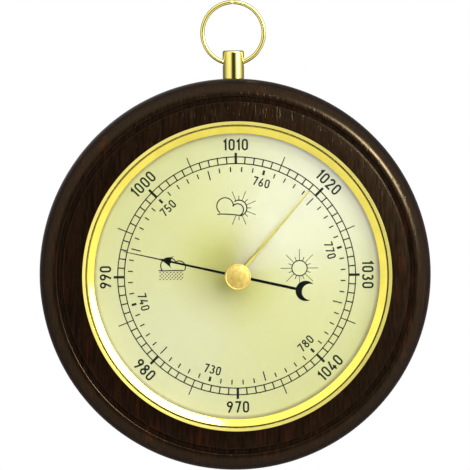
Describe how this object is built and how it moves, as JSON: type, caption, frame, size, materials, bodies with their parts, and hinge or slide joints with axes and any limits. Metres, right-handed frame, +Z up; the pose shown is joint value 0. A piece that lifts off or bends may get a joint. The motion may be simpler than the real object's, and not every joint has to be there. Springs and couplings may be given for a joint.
{
  "type": "ship barometer",
  "caption": "Round wall barometer in a turned dark wooden case, with a brass hanging ring, bezel, two hands and a geared aneroid movement behind the dial.",
  "frame": {"origin": "centre of the back cover's rear face, on the dial's axis, in the plane of the wall", "axes": "+X to the right of a person facing the dial, +Y into the wall along the dial's axis, +Z up through the hanger post"},
  "size_m": [0.17, 0.0474, 0.2042],
  "materials": {
    "dark_wood": "dark stained and lacquered, fine grain, soft gloss",
    "polished_brass": "polished and lacquered",
    "satin_brass": "satin",
    "movement_brass": "plain machined",
    "dial_champagne": "circular brushed, champagne lacquer, printed scales",
    "clear_glass": "flat polished",
    "hand_black": "matt black lacquer",
    "steel": "machined",
    "capsule_nickel": "nickel plated, corrugated",
    "fibre_board": "pressed fibre board, matt"
  },
  "bodies": {
    "case": {"wood_case": "dark_wood", "back_cover": "fibre_board", "cover_screw_1": "steel", "cover_screw_2": "steel", "cover_screw_3": "steel", "cover_screw_4": "steel", "housing_can": "polished_brass", "dial_plate": "dial_champagne", "spacer_ring": "polished_brass", "glass": "clear_glass", "bezel_ring": "polished_brass", "glass_bush": "polished_brass", "hanger_post": "polished_brass", "base_plate": "movement_brass", "base_screw_1": "steel", "base_screw_2": "steel", "base_screw_3": "steel", "pillar_1": "movement_brass", "pillar_2": "movement_brass", "pillar_3": "movement_brass", "short_pillar_1": "movement_brass", "short_pillar_2": "movement_brass", "short_pillar_3": "movement_brass", "lower_plate": "movement_brass", "upper_bridge": "movement_brass", "bridge_screw_1": "steel", "bridge_screw_2": "steel", "bridge_screw_3": "steel", "bracket_left": "movement_brass", "bracket_right": "movement_brass", "bracket_screw_left": "steel", "bracket_screw_right": "steel", "capsule_lower": "capsule_nickel", "hairspring_stud": "movement_brass"},
    "ring": {"hanging_ring": "polished_brass"},
    "set_knob_group": {"set_knob": "satin_brass", "set_spindle": "steel", "set_hand": "polished_brass", "friction_washer": "steel"},
    "pressure_arbor": {"pressure_hand": "hand_black", "hand_boss": "movement_brass", "hand_arbor": "steel", "pinion": "movement_brass", "hairspring_collet": "movement_brass", "hairspring": "steel"},
    "sector": {"sector_gear": "movement_brass", "sector_staff": "steel", "sector_collet": "movement_brass", "tail_pin": "steel"},
    "rocker": {"rocker_shaft": "steel", "short_arm": "movement_brass", "fork_arm": "movement_brass"},
    "capsule_top": {"capsule_upper": "capsule_nickel", "capsule_pin": "steel"},
    "adjuster": {"adjusting_screw": "movement_brass"}
  },
  "joints": [
    {"name": "ring_hinge", "type": "hinge", "parent": "case", "child": "ring", "pos_m": [0, -0.022, 0.09202], "axis": [1, 0, 0], "range_deg": [-105, 105]},
    {"name": "set_knob_turn", "type": "hinge", "parent": "case", "child": "set_knob_group", "pos_m": [0, -0.0427, 0], "axis": [0, 1, 0], "continuous": true},
    {"name": "sector_turn", "type": "hinge", "parent": "case", "child": "sector", "pos_m": [0, -0.0246, -0.04], "axis": [0, 1, 0], "range_deg": [-17.16, 6.85], "stiffness_Nm_per_rad": 0.3},
    {"name": "pressure_hand_turn", "type": "hinge", "parent": "case", "child": "pressure_arbor", "pos_m": [0, -0.0371, 0], "axis": [0, 1, 0], "range_deg": [-102.9, 257.5], "deforming": ["hairspring"]},
    {"name": "rocker_tilt", "type": "hinge", "parent": "case", "child": "rocker", "pos_m": [0, -0.0165, -0.04], "axis": [1, 0, 0], "range_deg": [-7.9, 3.2]},
    {"name": "capsule_flex", "type": "slide", "parent": "case", "child": "capsule_top", "axis": [0, -1, 0], "range_m": [-0.00083, 0.00033]},
    {"name": "adjuster_turn", "type": "hinge", "parent": "case", "child": "adjuster", "pos_m": [0, -0.0033, -0.034], "axis": [0, 1, 0], "range_deg": [-360, 360]}
  ],
  "couplings": [
    {"joint": "pressure_hand_turn", "follows": "sector_turn", "ratio": -15},
    {"joint": "rocker_tilt", "follows": "sector_turn", "ratio": 0.4545},
    {"joint": "capsule_flex", "follows": "sector_turn", "m_per_rad": 0.002727}
  ]
}
